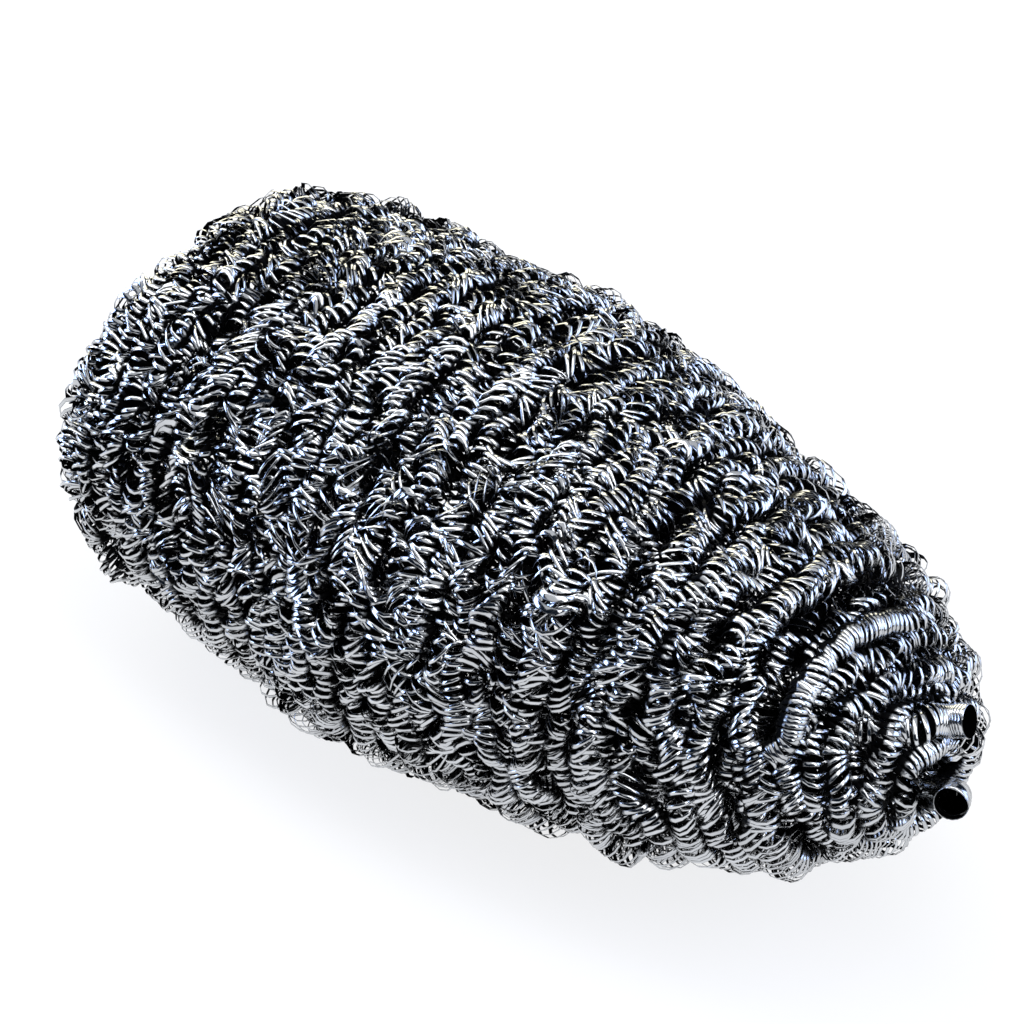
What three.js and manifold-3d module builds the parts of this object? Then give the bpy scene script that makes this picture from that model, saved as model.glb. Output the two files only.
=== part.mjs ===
// A spiral scourer: one long coil of flat stainless ribbon, wound round and round into an egg-shaped pad.
// The coil is a round strand of its outer diameter. Its wraps stand out as round ridges, with a groove
// from each wrap to the next, and the turns under them are solid. The wraps leave a hollow where the pad is
// gathered, and the two ends of the strand come out beside it, open.
// Millimetres, +Z up. The origin is under the middle of the pad, on the surface that it rests on.
// X runs along the pad, and +X points to the gathered tip.
import * as THREE from "three";
import { mergeVertices } from "three/addons/utils/BufferGeometryUtils.js";
import Module from "manifold-3d";

// Pad
const padLength = 100; // tip to tip, over the wraps
const padWidth = 52.4;
const padHeight = 45.4; // before its weight flattens the underside
const restFlattening = 1.8; // height lost where the underside lies flat
const bellyOffset = 19.8; // from the middle to the widest place, towards the blunt tip
const bluntPower = 4.8; // fullness of the outline at the blunt tip
const gatheredPower = 2.43; // fullness of the outline at the gathered tip

// Strand
const strandDiameter = 3.2;
const strandBore = 2.3; // the hollow that the coil leaves
const boreDepth = 2.5; // how far the hollow is open at the two ends
const wrapSpacing = 3.3; // from one wrap to the next
const grooveDepth = 1.4; // deepest groove between two wraps

// Uneven winding: how far the wraps lie from an even helix, along the pad and out from it
const slantReach = 2.2; // a wrap's slant from one side of the pad to the other
const bendReach = 0.8; // its bends, two to a turn
const wobbleReach = 0.5; // its smaller bends, three to a turn
const strayReach = 0.4; // its drift towards the wrap before or after
const lumpHeight = 0.35;
const liftHeight = 0.3; // how much higher or lower a wrap lies than the next
const liftRipple = 0.2;
const settledLength = 16; // the waves die out over this length before each tip

// The same as waves: how many go round the pad and along it, and where they start, in radians
const driftWaves = [
  { size: slantReach, round: 1, along: -0.2, start: -1.64 },
  { size: bendReach, round: 2, along: -0.4, start: 2.24 },
  { size: wobbleReach, round: 3, along: 2.5, start: 4 },
  { size: strayReach, round: 4.37, along: 1.4, start: 1 },
];
const lumpWaves = [
  { size: lumpHeight, round: 0, along: 2.9, start: -1.2 },
  { size: lumpHeight, round: 1, along: 2.1, start: 2.3 },
  { size: lumpHeight, round: 2, along: -1.8, start: -0.8 },
  { size: lumpHeight, round: 3, along: 2.8, start: 1.9 },
];
const liftWaves = [
  { size: liftHeight, round: 2.37, along: 0, start: 0 },
  { size: liftRipple, round: 5.61, along: 0, start: 1.7 },
];

// Gathered tip: the hollow that the last wraps leave, and the two strand ends that come out beside it. Each
// end goes from a place inside the pad, through its bends, to the opening. Places are from the tip
const hollowDiameter = 6.8;
const hollowDepth = 2.8;
const hollowRise = 1.8; // of its middle over the pad's axis
const strandEnds = [
  [
    [-9, 5, -7],
    [-1.2, 0.9, -0.6],
    [1, -1.35, 1.88],
    [1.5, -2.4, 2.2],
  ],
  [
    [-9.5, -6.5, 4],
    [-4.9, -0.9, 6.7],
    [-2.95, 2.2, 6.2],
    [-0.95, 2.85, 6.9],
  ],
];

// Facets
const stepsPerTurn = 24;
const ridgeShares = [-0.8, -0.28, 0.28, 0.8]; // points over a wrap, as shares of the way to its grooves
const endSides = 10;
const endStep = 1.2;
const hollowSides = 16;

const wasm = await Module();
wasm.setup();

const fullTurn = 2 * Math.PI;
const strandRadius = strandDiameter / 2;
const halfLength = padLength / 2;
const halfWidth = padWidth / 2;
const halfHeight = padHeight / 2;
const middleHeight = halfHeight - restFlattening;

// Half of the pad's outline, from the blunt tip to the gathered one: x along the pad, y out from its axis
class Outline extends THREE.Curve {
  getPoint(t, target = new THREE.Vector2()) {
    const x = -halfLength * Math.cos(Math.PI * t);
    const fromBelly = x + bellyOffset;
    const blunt = fromBelly < 0;
    const reach = Math.abs(fromBelly) / (blunt ? halfLength - bellyOffset : halfLength + bellyOffset);
    const fullness = 1 - Math.min(reach, 1) ** (blunt ? bluntPower : gatheredPower);
    return target.set(x, halfWidth * Math.sqrt(fullness));
  }
}

const outline = new Outline();
const outlineLength = outline.getLength();

const wave = (waves, along, turn) =>
  waves.reduce(
    (sum, { size, round, along: alongPad, start }) =>
      sum + size * Math.sin(round * turn + fullTurn * alongPad * (along / outlineLength) + start),
    0,
  );

// 1 over most of the pad, and down to 0 at the tips
const settle = (along) =>
  THREE.MathUtils.smoothstep(Math.min(along, outlineLength - along), 0, settledLength);

// A point of the pad: its way along the outline, the angle round the pad, and its depth under the surface
function padPoint(along, turn, depth) {
  const onPad = THREE.MathUtils.clamp(along, 0, outlineLength);
  const rim = outline.getPointAt(onPad / outlineLength);
  const atTip = onPad !== along;
  const under = atTip ? strandRadius : depth - wave(lumpWaves, onPad, turn) * settle(onPad);
  return new THREE.Vector3(
    rim.x * (1 - under / halfLength),
    rim.y * (1 - under / halfWidth) * Math.cos(turn),
    rim.y * (1 - under / halfHeight) * Math.sin(turn) * (padHeight / padWidth) + middleHeight,
  );
}

// The middle of a wrap, by the angle that the strand has gone round the pad, and how high it lies
const evenAlong = (turn) => (wrapSpacing * turn) / fullTurn;
const wrapLift = (turn) => wave(liftWaves, 0, turn) * settle(evenAlong(turn));

function wrapAlong(turn) {
  const even = evenAlong(turn);
  return even + wave(driftWaves, even, turn) * settle(even);
}

// Depth of the round strand's surface, by the distance from the middle of its wrap
function strandDepth(offset) {
  const round = strandRadius - Math.sqrt(Math.max(strandRadius ** 2 - offset ** 2, 0));
  return Math.min(round, grooveDepth);
}

// The groove before a wrap, where it meets the wrap of one turn ago
function groovePoint(turn) {
  const before = wrapAlong(turn - fullTurn);
  const after = wrapAlong(turn);
  const lift = (wrapLift(turn - fullTurn) + wrapLift(turn)) / 2;
  return padPoint((before + after) / 2, turn, strandDepth((after - before) / 2) - lift);
}

// A point over a wrap, by its share of the way to the groove on its side
function ridgePoint(turn, share) {
  const middle = wrapAlong(turn);
  const neighbour = wrapAlong(turn + Math.sign(share) * fullTurn);
  const toGroove = Math.min(Math.abs(neighbour - middle) / 2, strandRadius);
  return padPoint(middle + share * toGroove, turn, strandDepth(share * toGroove) - wrapLift(turn));
}

// A solid from a closed surface: its vertices are merged, and triangles that close to a line are dropped
function solidOf(geometry) {
  geometry.deleteAttribute("normal");
  geometry.deleteAttribute("uv");
  const merged = mergeVertices(geometry);
  const corners = Array.from(merged.index.array);
  const triangles = Array.from({ length: corners.length / 3 }, (_, i) => corners.slice(3 * i, 3 * i + 3));
  const mesh = new wasm.Mesh({
    numProp: 3,
    vertProperties: merged.attributes.position.array,
    triVerts: new Uint32Array(triangles.filter((triangle) => new Set(triangle).size === 3).flat()),
  });
  return new wasm.Manifold(mesh);
}

// The wound pad: one strip that follows the strand from tip to tip, with each wrap's edge on the next wrap
function woundPad() {
  const steps = stepsPerTurn * (Math.ceil(outlineLength / wrapSpacing) + 2);
  const lastRow = ridgeShares.length + 1;
  const strip = new THREE.PlaneGeometry(steps, 1, steps, lastRow);
  const { position } = strip.attributes;
  for (let i = 0; i < position.count; i++) {
    const step = i % (steps + 1);
    const row = lastRow - Math.floor(i / (steps + 1));
    const turn = fullTurn * (step / stepsPerTurn - 1);
    let point = ridgePoint(turn, ridgeShares[row - 1]);
    if (row === 0) point = groovePoint(turn);
    if (row === lastRow) point = groovePoint(turn + fullTurn);
    position.setXYZ(i, ...point);
  }
  return solidOf(strip);
}

const gatheredTip = new THREE.Vector3(halfLength, 0, middleHeight);
const endPaths = strandEnds.map(
  (points) => new THREE.CatmullRomCurve3(points.map((p) => new THREE.Vector3(...p).add(gatheredTip))),
);

// A round rod along a path
function rodAlong(path, diameter) {
  const section = new THREE.Shape();
  section.absarc(0, 0, diameter / 2, 0, fullTurn);
  const steps = Math.ceil(path.getLength() / endStep);
  return solidOf(new THREE.ExtrudeGeometry(section, { steps, curveSegments: endSides, extrudePath: path }));
}

// The open hollow at the end of a path, which runs out past the end
function endBore(path) {
  const tip = path.getPoint(1);
  const reach = path.getTangent(1).multiplyScalar(boreDepth);
  const line = new THREE.LineCurve3(tip.clone().sub(reach), tip.clone().add(reach));
  return rodAlong(line, strandBore);
}

// The hollow at the gathered tip
function tipHollow() {
  const ball = new THREE.SphereGeometry(hollowDiameter / 2, hollowSides, hollowSides / 2);
  ball.translate(halfLength - hollowDepth + hollowDiameter / 2, 0, middleHeight + hollowRise);
  return solidOf(ball);
}

// Everything below the surface that the pad rests on
function ground() {
  const box = new THREE.BoxGeometry(2 * padLength, 2 * padWidth, padHeight);
  box.translate(0, 0, -padHeight / 2);
  return solidOf(box);
}

const gathered = woundPad().subtract(tipHollow());
const withEnds = endPaths.reduce((sum, path) => sum.add(rodAlong(path, strandDiameter)), gathered);
const opened = endPaths.reduce((sum, path) => sum.subtract(endBore(path)), withEnds);
const rested = opened.subtract(ground());

const { vertProperties, triVerts } = rested.getMesh();
const geometry = new THREE.BufferGeometry();
geometry.setAttribute("position", new THREE.BufferAttribute(vertProperties, 3));
geometry.setIndex(new THREE.BufferAttribute(triVerts, 1));
geometry.computeVertexNormals();

const stainlessRibbon = new THREE.MeshStandardMaterial({ color: 0x8d9299, roughness: 0.3, metalness: 1 });
const strand = new THREE.Mesh(geometry, stainlessRibbon);
strand.name = "wound_strand";

const scourer = new THREE.Group();
scourer.add(strand);

export default scourer;
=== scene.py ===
import math
import bmesh
import bpy
import numpy as np
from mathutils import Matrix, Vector


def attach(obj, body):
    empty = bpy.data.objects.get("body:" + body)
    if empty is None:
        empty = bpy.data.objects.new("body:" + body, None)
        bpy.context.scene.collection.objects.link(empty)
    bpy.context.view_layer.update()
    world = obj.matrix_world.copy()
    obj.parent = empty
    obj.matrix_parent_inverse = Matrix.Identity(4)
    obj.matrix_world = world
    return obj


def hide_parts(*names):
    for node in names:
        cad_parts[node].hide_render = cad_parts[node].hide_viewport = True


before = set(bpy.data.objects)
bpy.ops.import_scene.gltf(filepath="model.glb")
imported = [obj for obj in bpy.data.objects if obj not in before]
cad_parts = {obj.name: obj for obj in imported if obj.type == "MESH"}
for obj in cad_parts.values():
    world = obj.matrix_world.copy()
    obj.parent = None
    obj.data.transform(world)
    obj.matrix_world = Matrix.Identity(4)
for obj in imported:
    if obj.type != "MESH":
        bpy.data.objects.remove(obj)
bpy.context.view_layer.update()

mm = 0.001
fullTurn = 2 * math.pi


# the pad and how the strand is wound on it, in mm, as in the part's source
pad = {
    "length": 100, "width": 52.4, "height": 45.4, "flattening": 1.8,
    "bellyOffset": 19.8, "bluntPower": 4.8, "gatheredPower": 2.43, "outlinePoints": 2001,
    "strandDiameter": 3.2, "wrapSpacing": 3.3, "settledLength": 16,
    # waves: size, how many go round the pad and along it, and where they start
    "drift": [(2.2, 1, -0.2, -1.64), (0.8, 2, -0.4, 2.24), (0.5, 3, 2.5, 4), (0.4, 4.37, 1.4, 1)],
    "lump": [(0.35, 0, 2.9, -1.2), (0.35, 1, 2.1, 2.3), (0.35, 2, -1.8, -0.8), (0.35, 3, 2.8, 1.9)],
    "lift": [(0.3, 2.37, 0, 0), (0.2, 5.61, 0, 1.7)],
    "restHeight": 1.4,  # turns lower than this are pressed towards the floor
    "underFrom": 0.25, "underOver": 0.5,  # where the underside begins over the widest line, in half heights
}
halfLength, halfWidth, halfHeight = pad["length"] / 2, pad["width"] / 2, pad["height"] / 2
middleHeight = halfHeight - pad["flattening"]
strandRadius = pad["strandDiameter"] / 2


def padOutline():  # the way along half of the pad's outline, and its x and radius there
    t = np.linspace(0, 1, pad["outlinePoints"])
    x = -halfLength * np.cos(np.pi * t)
    fromBelly = x + pad["bellyOffset"]
    blunt = fromBelly < 0
    whole = np.where(blunt, halfLength - pad["bellyOffset"], halfLength + pad["bellyOffset"])
    reach = np.minimum(np.abs(fromBelly) / whole, 1)
    radius = halfWidth * np.sqrt(1 - reach ** np.where(blunt, pad["bluntPower"], pad["gatheredPower"]))
    along = np.concatenate(([0], np.cumsum(np.hypot(np.diff(x), np.diff(radius)))))
    return along, x, radius


outlineAlong, outlineX, outlineRadius = padOutline()
outlineLength = outlineAlong[-1]


def wave(waves, along, turn):
    return sum(size * np.sin(aroundPad * turn + fullTurn * alongPad * along / outlineLength + start)
               for size, aroundPad, alongPad, start in waves)


def ramp(share):
    share = np.clip(share, 0, 1)
    return share * share * (3 - 2 * share)


def settle(along):  # 1 over most of the pad, 0 at the tips
    return ramp(np.minimum(along, outlineLength - along) / pad["settledLength"])


def underside(angle):  # 0 on top of the pad, 1 below its widest line
    return ramp((pad["underFrom"] - np.sin(angle)) / pad["underOver"])


def padPoint(along, turn, depth):
    onPad = np.clip(along, 0, outlineLength)
    under = depth - wave(pad["lump"], onPad, turn) * settle(onPad)
    radius = np.interp(onPad, outlineAlong, outlineRadius)
    x = np.interp(onPad, outlineAlong, outlineX) * (1 - under / halfLength)
    y = radius * (1 - under / halfWidth) * np.cos(turn)
    z = radius * (1 - under / halfHeight) * np.sin(turn) * pad["height"] / pad["width"] + middleHeight
    return np.stack((x, y, z), 1)


def wrapAlong(turn, spacing):
    even = spacing * turn / fullTurn
    return even + wave(pad["drift"], even, turn) * settle(even)


def uneven(random, count, over):  # numbers that wander about 0, each near those beside it
    margin = 4 * over
    raw = random.normal(size=count + 2 * margin)
    window = np.hanning(2 * over + 3)
    smooth = np.convolve(raw, window / np.sqrt((window ** 2).sum()), "same")
    return smooth[margin:margin + count]


# the strand's two ends at the gathered tip
strandEnds = {
    # where each one bends and opens, from the tip in mm
    "lower_strand_end": [(-9, 5, -7), (-1.2, 0.9, -0.6), (1, -1.35, 1.88), (1.5, -2.4, 2.2)],
    "upper_strand_end": [(-9.5, -6.5, 4), (-4.9, -0.9, 6.7), (-2.95, 2.2, 6.2), (-0.95, 2.85, 6.9)],
}
endCoil = {
    "closedLength": {"lower_strand_end": 20, "upper_strand_end": 3},  # mm from the mouth, turn on turn
    "opensOver": 2,  # mm
    "pitch": 0.3, "openPitch": 0.3,  # where it is closed up, and what is added where it opens
    "slack": 0.05, "openSlack": 0.45,
    "outward": (0.5, -0.5, 0.7),
    "stepsPerTurn": 20, "seed": 50,
    "knotSteps": 60,  # points of the path from each bend to the next
    "mouthSteps": 5,  # the last of them give the mouth's direction
    "hollowSteps": 90, "hollowEvery": 4,  # and these lie in the hollow that is kept clear
    "clearPast": 1.5, "clearPoints": 6, "clearance": 0.1,  # so does this much past the mouth, in mm
    "nearTip": 10,  # mm from the tip, where turns can reach the hollow
}


def smoothPath(knots):  # a rounded way through the knots
    knots = np.array(knots, float)
    knots = np.concatenate(([2 * knots[0] - knots[1]], knots, [2 * knots[-1] - knots[-2]]))
    t = np.linspace(0, 1, endCoil["knotSteps"], endpoint=False)[:, None]
    parts = []
    for p0, p1, p2, p3 in zip(knots, knots[1:], knots[2:], knots[3:]):
        parts.append(0.5 * (2 * p1 + (p2 - p0) * t + (2 * p0 - 5 * p1 + 4 * p2 - p3) * t ** 2
                            + (3 * p1 - p0 - 3 * p2 + p3) * t ** 3))
    return np.concatenate(parts + [knots[-2:-1]])


endPaths = {name: smoothPath(knots) + (halfLength, 0, middleHeight) for name, knots in strandEnds.items()}


def insideEnds(points):  # which points lie in the hollow of an end, near its mouth
    inside = np.zeros(len(points), bool)
    near = np.flatnonzero(points[:, 0] > halfLength - endCoil["nearTip"])
    past = np.linspace(0, endCoil["clearPast"], endCoil["clearPoints"])[:, None]
    for path in endPaths.values():
        mouthWay = path[-1] - path[-1 - endCoil["mouthSteps"]]
        mouth = path[-1] + past * mouthWay / np.linalg.norm(mouthWay)
        hollow = np.concatenate((path[-endCoil["hollowSteps"]::endCoil["hollowEvery"]], mouth))
        away = np.linalg.norm(points[near, None] - hollow[None], axis=2).min(1)
        inside[near[away < strandRadius + endCoil["clearance"]]] = True
    return inside


# places where a few turns stand out of the pad, and broader ones where it is pressed in, in mm. Size is how
# much wider the turns are there
openLoops = [
    {"place": (18.0, -16.4, 35.1), "reach": 2.4, "lift": 1.5, "size": 0.3},
    {"place": (30.4, 0.0, 38.7), "reach": 2.4, "lift": 1.2, "size": 0.3},
    {"place": (43.0, -11.6, 13.5), "reach": 3.2, "lift": 2.3, "size": 0.0},
    {"place": (-12.0, -22.0, 9.0), "reach": 2.0, "lift": 1.4, "size": 0.25},
    {"place": (-46.5, -17.0, 27.0), "reach": 7.0, "lift": -1.3, "size": 0.0},
    {"place": (-47.0, -3.0, 34.0), "reach": 6.0, "lift": -1.0, "size": 0.0},
    {"place": (31.5, -11.0, 7.0), "reach": 5.0, "lift": -0.9, "size": 0.0},
    {"place": (46.0, -1.5, 11.5), "reach": 7.0, "lift": -1.3, "size": 0.0},
]


def openness(points, key):
    total = np.zeros(len(points))
    for loop in openLoops:
        away = np.linalg.norm(points - np.array(loop["place"]), axis=1) / loop["reach"]
        total += loop[key] * np.exp(-away ** 2)
    return total


# the coil on the outside of the pad. Places along it are shares of the way from the blunt tip
coil = {
    "ribbonWidth": 0.39, "ribbonThickness": 0.075, "stepsPerTurn": 12,
    # names, and how much lower the painted shade begins on each, in mm
    "pieces": {"blunt_end_coil": 0, "belly_coil": 0, "shoulder_coil": 0, "gathered_end_coil": 0},
    "pitchAt": (0, 0.4, 0.62, 0.8, 0.92, 1),
    "pitch": (0.66, 0.66, 0.65, 0.64, 0.62, 0.6),
    "wideAt": (0, 0.5, 0.74, 0.88, 1),
    "wide": (-0.3, -0.28, -0.24, -0.1, 0),  # loose turns are narrower than the strand, by these shares
    "underWide": 0.17,  # less so on the underside
    "slackAt": (0, 0.5, 0.72, 0.88, 1),
    "slack": (1.1, 1.06, 0.92, 0.7, 0.55),  # how uneven the turns are
    "underSlack": 0.25,  # less so on the underside
    "strays": [("across", 0.75, 10), ("across", 0.45, 4), ("outward", 0.45, 7)],  # way, size, over mm
    "wanderAt": (0, 0.5, 0.75, 1),
    "wander": (0.45, 0.45, 0.8, 0.55),  # how freely the strand strays
    # stretches where the coil is closed up: turns round the pad, shift along it and lift, in mm
    "tight": [(33.16, 33.43, 1.3, 0.7), (37.18, 37.36, 0, 0)],
    "tightOver": 0.05, "tightPitch": 0.43, "tightSlack": 0.6, "tightWander": 0.8,
    "firstTurn": 0.5,
    "leftOff": 1.25,  # wraps left off at the gathered tip, which leaves its hollow
    "routeSteps": 180,  # points for each wrap
    "sunk": 0.3,  # under the pad's surface, to make room for stray turns
    "seed": 11,
}
width, thick = coil["ribbonWidth"], coil["ribbonThickness"]
ribbonSection = [(-width / 2, -thick), (width / 2, -thick), (0, 0)]  # flat inside, crowned outside
sectionEdges = 2  # its first two corners are the ribbon's edges
faceCorners = 4


def byShare(share, key):
    return np.interp(share, coil[key + "At"], coil[key])


# a route for the strand: its points, the way out of the pad, the way across and the length so far, in mm
def finishRoute(points, outward):
    length = np.concatenate(([0], np.cumsum(np.linalg.norm(np.diff(points, axis=0), axis=1))))
    ahead = np.gradient(points, length, axis=0)
    ahead /= np.linalg.norm(ahead, axis=1)[:, None]
    outward = outward - ahead * (outward * ahead).sum(1)[:, None]
    outward /= np.linalg.norm(outward, axis=1)[:, None]
    return {"points": points, "outward": outward, "across": np.cross(ahead, outward), "length": length}


def woundRoute(turns, spacing, offset, depth, hand, wander, seed):
    further = 0.5  # a point this many mm further out shows the way out of the pad
    along = wrapAlong(turns, spacing) + offset * settle(wrapAlong(turns, spacing))
    under = depth - wave(pad["lift"], 0, turns) * settle(along)
    points = padPoint(along, hand * turns, under)
    route = finishRoute(points, padPoint(along, hand * turns, under - further) - points)
    random = np.random.default_rng(seed)
    count = int(route["length"][-1]) + 2  # a number for each mm
    lift = openness(points, "lift")
    for way, size, over in coil["strays"]:
        stray = np.interp(route["length"], np.arange(count), uneven(random, count, over))
        points = points + (size * wander * stray)[:, None] * route[way]
    return finishRoute(points + lift[:, None] * route["outward"], route["outward"])


def alongRoute(route, key, at):
    return np.stack([np.interp(at, route["length"], route[key][:, k]) for k in range(3)], 1)


# how the turns of a slack coil differ from perfect ones: by how much, and over how many turns that lasts
turnWander = {
    "bunch": [(0.18, 3), (0.16, 1)],  # of the pitch
    "size": [(0.05, 6), (0.11, 1)], "squash": [(0.09, 2)],  # of the radius
    "leanOut": [(0.3, 3), (0.36, 1)], "leanSide": [(0.3, 3), (0.36, 1)],  # slopes
    "shiftOut": [(0.16, 2), (0.26, 1)], "shiftSide": [(0.36, 2), (0.5, 1)],  # mm
    "roll": [(0.3, 3)],  # of the ribbon, in radians
}
wideTurns = {"share": 0.06, "most": 0.22}  # a few stray turns are wider


def wandering(random, key, count):
    return sum(size * uneven(random, count, over) for size, over in turnWander[key])


# where each turn of a coil lies along its route, and how it differs from a perfect turn
def unevenTurns(route, pitch, slack, wide, seed):
    random = np.random.default_rng(seed)
    end = route["length"][-1]
    bunch = wandering(random, "bunch", int(end / np.min(pitch)) * 2)
    at = [0.0]
    while at[-1] < end:
        loose = np.interp(at[-1], route["length"], slack)
        at.append(at[-1] + np.interp(at[-1], route["length"], pitch) * math.exp(loose * bunch[len(at)]))
    count = len(at)
    at = np.array(at)
    loose = np.interp(at, route["length"], slack)
    chosen = random.random(count) < wideTurns["share"] * loose
    stray = np.where(chosen, random.random(count) * wideTurns["most"], 0)
    wide = np.interp(at, route["length"], wide)
    loop = openness(alongRoute(route, "points", at), "size")
    return {
        "at": at, "count": count,
        "size": 1 + wide + loop + stray + loose * wandering(random, "size", count),
        "squash": loose * wandering(random, "squash", count),
        "leanOut": loose * wandering(random, "leanOut", count),
        "leanSide": loose * wandering(random, "leanSide", count),
        # narrower turns lie further out, so that they stay at the surface
        "shiftOut": loose * wandering(random, "shiftOut", count) - strandRadius * wide,
        "shiftSide": loose * wandering(random, "shiftSide", count),
        "roll": loose * wandering(random, "roll", count),
    }


# a straight coil of ribbon: its section turned by a Screw modifier
def screwCoil(name, turns, section, steps):
    mesh = bpy.data.meshes.new(name)
    bm = bmesh.new()
    corners = [bm.verts.new((x * mm, 0, (strandRadius + z) * mm)) for x, z in section]
    for first, second in zip(corners, corners[1:] + corners[:1]):
        bm.edges.new((first, second))
    bm.to_mesh(mesh)
    bm.free()
    piece = bpy.data.objects.new(name, mesh)
    bpy.context.scene.collection.objects.link(piece)
    screw = piece.modifiers.new("turns", "SCREW")
    screw.axis = "X"
    screw.angle = fullTurn
    screw.screw_offset = mm
    screw.iterations = turns
    screw.steps = screw.render_steps = steps
    screw.use_smooth_shade = True
    turned = piece.evaluated_get(bpy.context.evaluated_depsgraph_get())
    piece.data = bpy.data.meshes.new_from_object(turned)
    piece.modifiers.clear()
    bpy.data.meshes.remove(mesh)
    piece.data.name = name
    return piece


# painted shade, a dark colour standing in for the shade deep in the turns and on their inner faces: how far
# over the strand's middle it begins, and over what depth it darkens fully, in mm, from the pad's lower
# flanks to its upper side
shadePainting = {
    "facing": (-0.5, 0.3),  # how much the way out of the pad points up
    "begins": (0.8, 1.14), "over": (0.7, 0.32),
    "lessShadeAt": (-26, 6), "lessShade": (0.32, 0),  # begins lower at the blunt end, by x in mm
    "noShade": 9,  # so much that none is left
    "innerFace": 2.5,  # so that the whole inner face is painted dark
}


# bends a straight coil along its route, turn by turn
def layCoil(name, route, table, first, last, steps, lessShade):
    piece = screwCoil(name, last - first, ribbonSection, steps)
    mesh = piece.data
    corners = len(ribbonSection)
    place = np.arange(len(mesh.vertices))
    turn = first + (place // corners) / steps
    section = np.array(ribbonSection)[place % corners]
    value = {key: np.interp(turn, np.arange(table["count"]), numbers)
             for key, numbers in table.items() if key != "count"}
    angle = fullTurn * turn
    cosine, sine = np.cos(angle), np.sin(angle)
    axial = section[:, 0] * np.cos(value["roll"]) - section[:, 1] * np.sin(value["roll"])
    radial = section[:, 0] * np.sin(value["roll"]) + section[:, 1] * np.cos(value["roll"])
    radius = strandRadius * value["size"] + radial
    s = value["at"] + axial + radius * (value["leanOut"] * cosine + value["leanSide"] * sine)
    rise = radius * cosine * (1 + value["squash"]) + value["shiftOut"]
    aside = radius * sine * (1 - value["squash"]) + value["shiftSide"]
    outward = alongRoute(route, "outward", s)
    points = alongRoute(route, "points", s)
    points += rise[:, None] * outward
    points += aside[:, None] * alongRoute(route, "across", s)
    rest = pad["restHeight"]
    low = points[:, 2] < rest
    points[low, 2] = rest * np.exp(points[low, 2] / rest - 1)
    mesh.vertices.foreach_set("co", (points * mm).ravel())
    # painted shade: darker the lower a point lies under its turn's top, beginning higher on the pad's upper
    # side
    begins = np.interp(outward[:, 2], shadePainting["facing"], shadePainting["begins"])
    begins -= lessShade + np.interp(points[:, 0], shadePainting["lessShadeAt"], shadePainting["lessShade"])
    over = np.interp(outward[:, 2], shadePainting["facing"], shadePainting["over"])
    shadeRibbon(mesh, corners, (begins - rise) / over)
    sharpenEdges(mesh, corners)
    hidden = np.zeros(len(points), bool)
    if name not in endPaths:
        hidden = np.repeat(insideEnds(points).reshape(-1, corners).any(1), corners)
    capEnds(mesh, hidden)
    return piece


def shadeRibbon(mesh, corners, paintedShade):  # paintedShade is 0 where the painted shade begins and 1 where it covers the ribbon
    point = np.empty(len(mesh.loops), np.int32)
    mesh.loops.foreach_get("vertex_index", point)
    onEdge = point % corners < sectionEdges
    innerFace = np.repeat(onEdge.reshape(-1, faceCorners).all(1), faceCorners)
    # the inner faces are painted fully dark, painted shade standing in for the dark inside the turns
    paintedShadeThere = np.where(innerFace, shadePainting["innerFace"], paintedShade[point])
    inside = mesh.attributes.new("inside", "FLOAT", "CORNER")
    inside.data.foreach_set("value", paintedShadeThere.astype(np.float32))
    edgeShadeWeight = mesh.attributes.new("edgeShadeWeight", "FLOAT", "CORNER")  # 1 at the edges, 0 at the crown
    edgeShadeWeight.data.foreach_set("value", onEdge.astype(np.float32))


def sharpenEdges(mesh, corners):  # the two long edges of the ribbon are crisp, its crown is not
    ends = np.empty(2 * len(mesh.edges), np.int32)
    mesh.edges.foreach_get("vertices", ends)
    first, second = ends.reshape(-1, 2).T % corners
    sharp = mesh.attributes.new("sharp_edge", "BOOLEAN", "EDGE")
    sharp.data.foreach_set("value", (first == second) & (first < sectionEdges))


def capEnds(mesh, hidden):  # the ribbon stops where it would run through a strand end
    bm = bmesh.new()
    bm.from_mesh(mesh)
    bmesh.ops.delete(bm, geom=[vert for vert, gone in zip(bm.verts, hidden) if gone], context="VERTS")
    bmesh.ops.holes_fill(bm, edges=[edge for edge in bm.edges if edge.is_boundary])
    bmesh.ops.recalc_face_normals(bm, faces=bm.faces)
    bm.to_mesh(mesh)
    bm.free()


def linear(hexColour):
    parts = [int(hexColour[i:i + 2], 16) / 255 for i in (1, 3, 5)]
    return [c / 12.92 if c <= 0.04045 else ((c + 0.055) / 1.055) ** 2.4 for c in parts] + [1]


def addNode(tree, kind, settings=None, inputs=None, links=None):
    node = tree.nodes.new(kind)
    for key, value in (settings or {}).items():
        setattr(node, key, value)
    for key, value in (inputs or {}).items():
        node.inputs[key].default_value = value
    for key, socket in (links or {}).items():
        tree.links.new(socket, node.inputs[key])
    return node


def newMaterial(name):
    material = bpy.data.materials.new(name)
    material.use_nodes = True
    material.node_tree.nodes.clear()
    return material, material.node_tree


# cold-rolled stainless ribbon: bright and nearly mirror-like on its outer face, so that each turn shows as a
# short bright dash, between painted dark lines at its edges and painted shade standing in for the dark
# inside the turns
ribbonFinish = {
    "steel": ("#b8babc", "#d6d8da"),
    "blotch": 5, "blotchRange": (0.35, 0.7),  # mm across, from one grey to the other
    # the colour and roughness of the painted shade
    "paintedShade": "#0b0b0c", "paintedShadeRoughness": 0.6,
    "grain": 0.4, "grainRange": (0.3, 0.7), "roughness": (0.07, 0.19),  # mm across, for an uneven polish
    "ragged": 1.5, "cover": (0.75, 1.75),  # the grain makes the painted shade's border ragged
    "edge": (0.6, 0.96), "edgeDark": 0.9,  # painted dark lines that stand in for shade, from the crown to the edges
}


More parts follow.
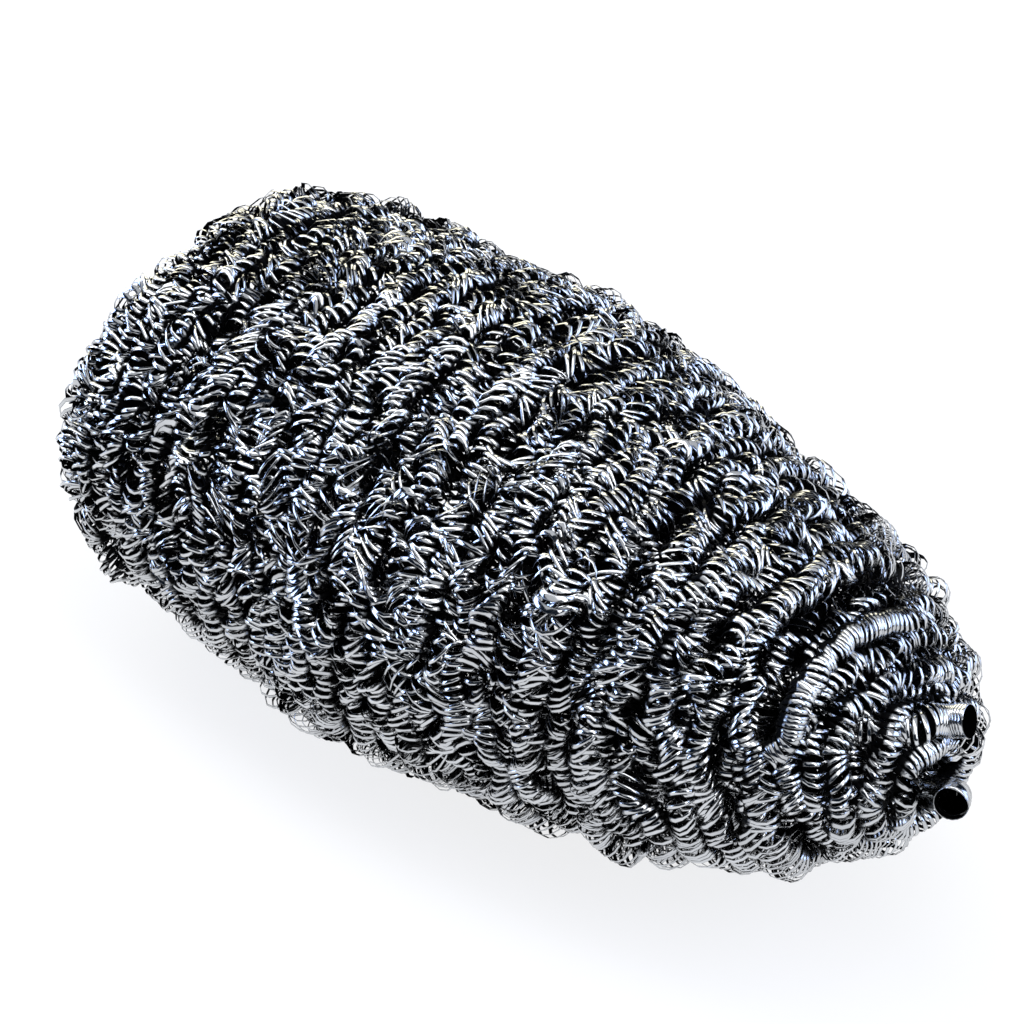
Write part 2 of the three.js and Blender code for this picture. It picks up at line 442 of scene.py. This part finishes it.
def coldRolledRibbon():
    finish = ribbonFinish
    material, tree = newMaterial("coldRolledStainless")
    place = addNode(tree, "ShaderNodeTexCoord")
    blotch = addNode(tree, "ShaderNodeTexNoise", inputs={"Scale": 1 / (finish["blotch"] * mm), "Detail": 3},
                     links={"Vector": place.outputs["Object"]})
    grain = addNode(tree, "ShaderNodeTexNoise", inputs={"Scale": 1 / (finish["grain"] * mm), "Detail": 2},
                    links={"Vector": place.outputs["Object"]})
    steel = addNode(tree, "ShaderNodeValToRGB", links={"Fac": blotch.outputs["Fac"]})
    for stop, position, colour in zip(steel.color_ramp.elements, finish["blotchRange"], finish["steel"]):
        stop.position = position
        stop.color = linear(colour)
    # the painted shade that stands in for the dark inside the turns, with a ragged border
    inside = addNode(tree, "ShaderNodeAttribute", {"attribute_name": "inside"})
    ragged = addNode(tree, "ShaderNodeMath", {"operation": "MULTIPLY_ADD"}, {1: finish["ragged"]},
                     {0: grain.outputs["Fac"], 2: inside.outputs["Fac"]})
    cover = addNode(tree, "ShaderNodeMapRange", {"interpolation_type": "SMOOTHSTEP"},
                    {"From Min": finish["cover"][0], "From Max": finish["cover"][1]},
                    {"Value": ragged.outputs[0]})
    # painted dark lines along the ribbon's edges, standing in for shade
    edgeShadeWeight = addNode(tree, "ShaderNodeAttribute", {"attribute_name": "edgeShadeWeight"})
    edgeShadeLine = addNode(tree, "ShaderNodeMapRange", {"interpolation_type": "SMOOTHSTEP"},
                       {"From Min": finish["edge"][0], "From Max": finish["edge"][1],
                        "To Max": finish["edgeDark"]},
                       {"Value": edgeShadeWeight.outputs["Fac"]})
    dark = addNode(tree, "ShaderNodeMath", {"operation": "MAXIMUM"},
                   links={0: cover.outputs["Result"], 1: edgeShadeLine.outputs["Result"]})
    # sockets 6 and 7 are the two colours of a colour mix, and its output 2 is the mixed one
    colour = addNode(tree, "ShaderNodeMix", {"data_type": "RGBA"}, {7: linear(finish["paintedShade"])},
                     {"Factor": dark.outputs[0], 6: steel.outputs["Color"]})
    polish = addNode(tree, "ShaderNodeMapRange", links={"Value": grain.outputs["Fac"]},
                     inputs={"From Min": finish["grainRange"][0], "From Max": finish["grainRange"][1],
                             "To Min": finish["roughness"][0], "To Max": finish["roughness"][1]})
    roughness = addNode(tree, "ShaderNodeMix", inputs={"B": finish["paintedShadeRoughness"]},
                        links={"Factor": dark.outputs[0], "A": polish.outputs["Result"]})
    shader = addNode(tree, "ShaderNodeBsdfPrincipled", inputs={"Metallic": 1.0},
                     links={"Base Color": colour.outputs[2], "Roughness": roughness.outputs["Result"]})
    addNode(tree, "ShaderNodeOutputMaterial", links={"Surface": shader.outputs["BSDF"]})
    return material


def finishPiece(piece, material):
    piece.data.materials.append(material)
    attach(piece, "root")
    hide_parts("wound_strand")
    triangles = sum(len(face.vertices) - 2 for face in piece.data.polygons)
    print(piece.name, triangles, "triangles")
    return triangles


# camera: the photograph's view, looking down on the pad from its gathered end, in degrees and mm
viewpoint = {
    "azimuth": 43.5, "elevation": 38, "distance": 375, "aimRight": -2.68, "aimUp": 4.33,
    "lens": 138.4, "sensor": 36, "clipStart": 10,
}


def makeCamera():
    a, e = math.radians(viewpoint["azimuth"]), math.radians(viewpoint["elevation"])
    back = Vector((math.sin(a) * math.cos(e), -math.cos(a) * math.cos(e), math.sin(e)))
    right = Vector((math.cos(a), math.sin(a), 0))
    up = back.cross(right)
    aim = Vector((0, 0, middleHeight)) + right * viewpoint["aimRight"] + up * viewpoint["aimUp"]
    data = bpy.data.cameras.new("camera")
    data.sensor_width = viewpoint["sensor"]
    data.lens = viewpoint["lens"]
    data.clip_start = viewpoint["clipStart"] * mm
    camera = bpy.data.objects.new("camera", data)
    camera.location = (aim + back * viewpoint["distance"]) * mm
    camera.rotation_mode = "QUATERNION"
    camera.rotation_quaternion = (-back).to_track_quat("-Z", "Y")
    bpy.context.scene.collection.objects.link(camera)
    bpy.context.scene.camera = camera


# studio lamps, in metres and watts: a broad softbox overhead with three strips below it, which break up the
# dashes, and larger panels behind and at both sides
lamps = {
    "overhead": {"place": (0.1, -0.05, 0.95), "size": (1.9, 1.7), "power": 7.2, "colour": "#f9fbff"},
    "stripLeft": {"place": (-0.5, -0.05, 0.9), "size": (0.35, 1.7), "power": 6.0, "colour": "#f9fbff"},
    "stripMiddle": {"place": (0.12, -0.05, 0.9), "size": (0.35, 1.7), "power": 1.6, "colour": "#f9fbff"},
    "stripRight": {"place": (0.75, -0.05, 0.85), "size": (0.4, 1.7), "power": 6.8, "colour": "#f9fbff"},
    "back": {"place": (-0.95, 0.6, 0.45), "size": (1.0, 0.9), "power": 8.8, "colour": "#fbf3d6"},
    "left": {"place": (-0.95, -0.5, 0.22), "size": (1.3, 0.8), "power": 21.5, "colour": "#adc7fb"},
    "right": {"place": (0.7, 0.8, 0.4), "size": (1.4, 0.8), "power": 14, "colour": "#b9cefb"},
}
lampAim = Vector((0, 0, 0.02))
surroundings = "#151f2b"
backdrop = {"halfSize": 6, "colour": "#f7f7f7", "roughness": 0.9, "whiteShare": 0.8}


# white paper: matt, shown nearly white to the camera and in the steel, with the pad's soft shadow on it
def whitePaper():
    material, tree = newMaterial("whitePaper")
    paper = addNode(tree, "ShaderNodeBsdfPrincipled",
                    inputs={"Base Color": linear(backdrop["colour"]), "Roughness": backdrop["roughness"]})
    white = addNode(tree, "ShaderNodeEmission")
    path = addNode(tree, "ShaderNodeLightPath")
    seen = addNode(tree, "ShaderNodeMath", {"operation": "ADD"},
                   links={0: path.outputs["Is Camera Ray"], 1: path.outputs["Is Glossy Ray"]})
    seenThrough = addNode(tree, "ShaderNodeMath", {"operation": "ADD", "use_clamp": True},
                          links={0: seen.outputs[0], 1: path.outputs["Is Transmission Ray"]})
    share = addNode(tree, "ShaderNodeMath", {"operation": "MULTIPLY"}, {1: backdrop["whiteShare"]},
                    {0: seenThrough.outputs[0]})
    both = addNode(tree, "ShaderNodeMixShader",
                   links={"Fac": share.outputs[0], 1: paper.outputs["BSDF"], 2: white.outputs["Emission"]})
    addNode(tree, "ShaderNodeOutputMaterial", links={"Surface": both.outputs["Shader"]})
    return material


def makeStudio():
    bm = bmesh.new()
    bmesh.ops.create_grid(bm, x_segments=1, y_segments=1, size=backdrop["halfSize"])
    mesh = bpy.data.meshes.new("floor")
    bm.to_mesh(mesh)
    bm.free()
    mesh.materials.append(whitePaper())
    floor = bpy.data.objects.new("floor", mesh)
    bpy.context.scene.collection.objects.link(floor)
    for name, lamp in lamps.items():
        data = bpy.data.lights.new(name, "AREA")
        data.shape = "RECTANGLE"
        data.size, data.size_y = lamp["size"]
        data.energy = lamp["power"]
        data.color = linear(lamp["colour"])[:3]
        light = bpy.data.objects.new(name, data)
        light.location = lamp["place"]
        light.rotation_mode = "QUATERNION"
        light.rotation_quaternion = (lampAim - light.location).to_track_quat("-Z", "Y")
        bpy.context.scene.collection.objects.link(light)
    world = bpy.data.worlds.new("studio")
    world.use_nodes = True
    background = world.node_tree.nodes["Background"]
    background.inputs["Color"].default_value = linear(surroundings)
    background.inputs["Strength"].default_value = 1.0
    bpy.context.scene.world = world


bpy.context.scene.view_settings.view_transform = "Standard"
makeCamera()
makeStudio()
print("camera and studio made")
ribbon = coldRolledRibbon()


# a route's coil cut into pieces, each with its name and how much lower its painted shade begins, in mm
def layPieces(pieces, route, table, steps):
    cuts = np.linspace(0, table["count"] - 1, len(pieces) + 1).astype(int).tolist()
    return sum(finishPiece(layCoil(name, route, table, first, last, steps, lessShade), ribbon)
               for (name, lessShade), first, last in zip(pieces.items(), cuts, cuts[1:]))


def layOuterCoil():
    spacing = pad["wrapSpacing"]
    wraps = outlineLength / spacing
    turns = np.arange(coil["firstTurn"], wraps - coil["leftOff"], 1 / coil["routeSteps"]) * fullTurn
    share = wrapAlong(turns, spacing) / outlineLength
    under = underside(turns)
    tight, shift, lift = 0, 0, 0
    for first, last, shiftThere, liftThere in coil["tight"]:
        fromFirst, toLast = turns / fullTurn - first, last - turns / fullTurn
        here = ramp(fromFirst / coil["tightOver"]) * ramp(toLast / coil["tightOver"])
        tight, shift, lift = tight + here, shift + shiftThere * here, lift + liftThere * here
    slack = byShare(share, "slack") * (1 - coil["tightSlack"] * tight) * (1 - coil["underSlack"] * under)
    wide = np.minimum(byShare(share, "wide") + coil["underWide"] * under, 0)
    pitch = byShare(share, "pitch") * (1 - tight) + coil["tightPitch"] * tight
    wander = byShare(share, "wander") * (1 - coil["tightWander"] * tight)
    depth = strandRadius + coil["sunk"] - lift
    route = woundRoute(turns, spacing, shift, depth, 1, wander, coil["seed"])
    table = unevenTurns(route, pitch, slack, wide, coil["seed"] + 1)
    print("outer wraps", round(wraps, 1), "strand", round(route["length"][-1]), "mm, turns", table["count"])
    return layPieces(coil["pieces"], route, table, coil["stepsPerTurn"])


# two more layers of wraps: one lies between the outer wraps, into which its turns catch, and sinks below
# them towards the gathered tip, and the other crosses deeper and shows only in the gaps. Depths are in mm
underLayers = {
    "second": {
        "pieces": {"second_blunt_coil": 0.12, "second_belly_coil": 0.12, "second_gathered_coil": 0},
        "depthAt": (0, 0.68, 0.84, 1), "depth": (1.9, 2.0, 3.1, 3.4), "sunkUnder": 1.2,
        "spacing": 3.3, "offset": 1.65, "hand": 1, "firstTurn": 0.9, "leftOff": 1.6, "routeSteps": 120,
        "pitch": 0.69, "wide": -0.25, "stepsPerTurn": 10, "seed": 31,
    },
    "third": {
        "pieces": {"third_blunt_coil": 0.4, "third_gathered_coil": 0.1},
        "depthAt": (0, 0.68, 0.84, 1), "depth": (3.7, 3.8, 5, 5.4), "sunkUnder": 1.2,
        "spacing": 3.6, "offset": 0, "hand": -1, "firstTurn": 0.9, "leftOff": 1.6, "routeSteps": 120,
        "pitch": 0.9, "wide": -0.15, "stepsPerTurn": 8, "seed": 41,
    },
}


def layUnderCoil(layer):
    spacing, hand = layer["spacing"], layer["hand"]
    lastTurn = outlineLength / spacing - layer["leftOff"]
    turns = np.arange(layer["firstTurn"], lastTurn, 1 / layer["routeSteps"]) * fullTurn
    ones = np.ones(len(turns))
    share = turns / turns[-1]
    depth = np.interp(share, layer["depthAt"], layer["depth"])
    depth = depth + layer["sunkUnder"] * underside(hand * turns)
    slack, wander = byShare(share, "slack"), byShare(share, "wander")
    route = woundRoute(turns, spacing, layer["offset"], depth, hand, wander, layer["seed"])
    table = unevenTurns(route, layer["pitch"] * ones, slack, layer["wide"] * ones, layer["seed"] + 1)
    print("under layer, strand", round(route["length"][-1]), "mm, turns", table["count"])
    return layPieces(layer["pieces"], route, table, layer["stepsPerTurn"])


# a strand end, closed up turn to turn as far back from its mouth as it shows
def layStrandEnd(number, name, points):
    route = finishRoute(points, np.tile(endCoil["outward"], (len(points), 1)))
    fromMouth = route["length"][-1] - route["length"]
    opened = ramp((fromMouth - endCoil["closedLength"][name]) / endCoil["opensOver"])
    pitch = endCoil["pitch"] + endCoil["openPitch"] * opened
    slack = endCoil["slack"] + endCoil["openSlack"] * opened
    table = unevenTurns(route, pitch, slack, 0 * opened, endCoil["seed"] + number)
    lastTurn = table["count"] - 1
    # its outer faces carry no painted shade, and only its inner face is painted dark
    piece = layCoil(name, route, table, 0, lastTurn, endCoil["stepsPerTurn"], shadePainting["noShade"])
    return finishPiece(piece, ribbon)


total = layOuterCoil()
for layer in underLayers.values():
    total += layUnderCoil(layer)
for number, (name, points) in enumerate(endPaths.items()):
    total += layStrandEnd(number, name, points)
print("coils made,", total, "triangles")
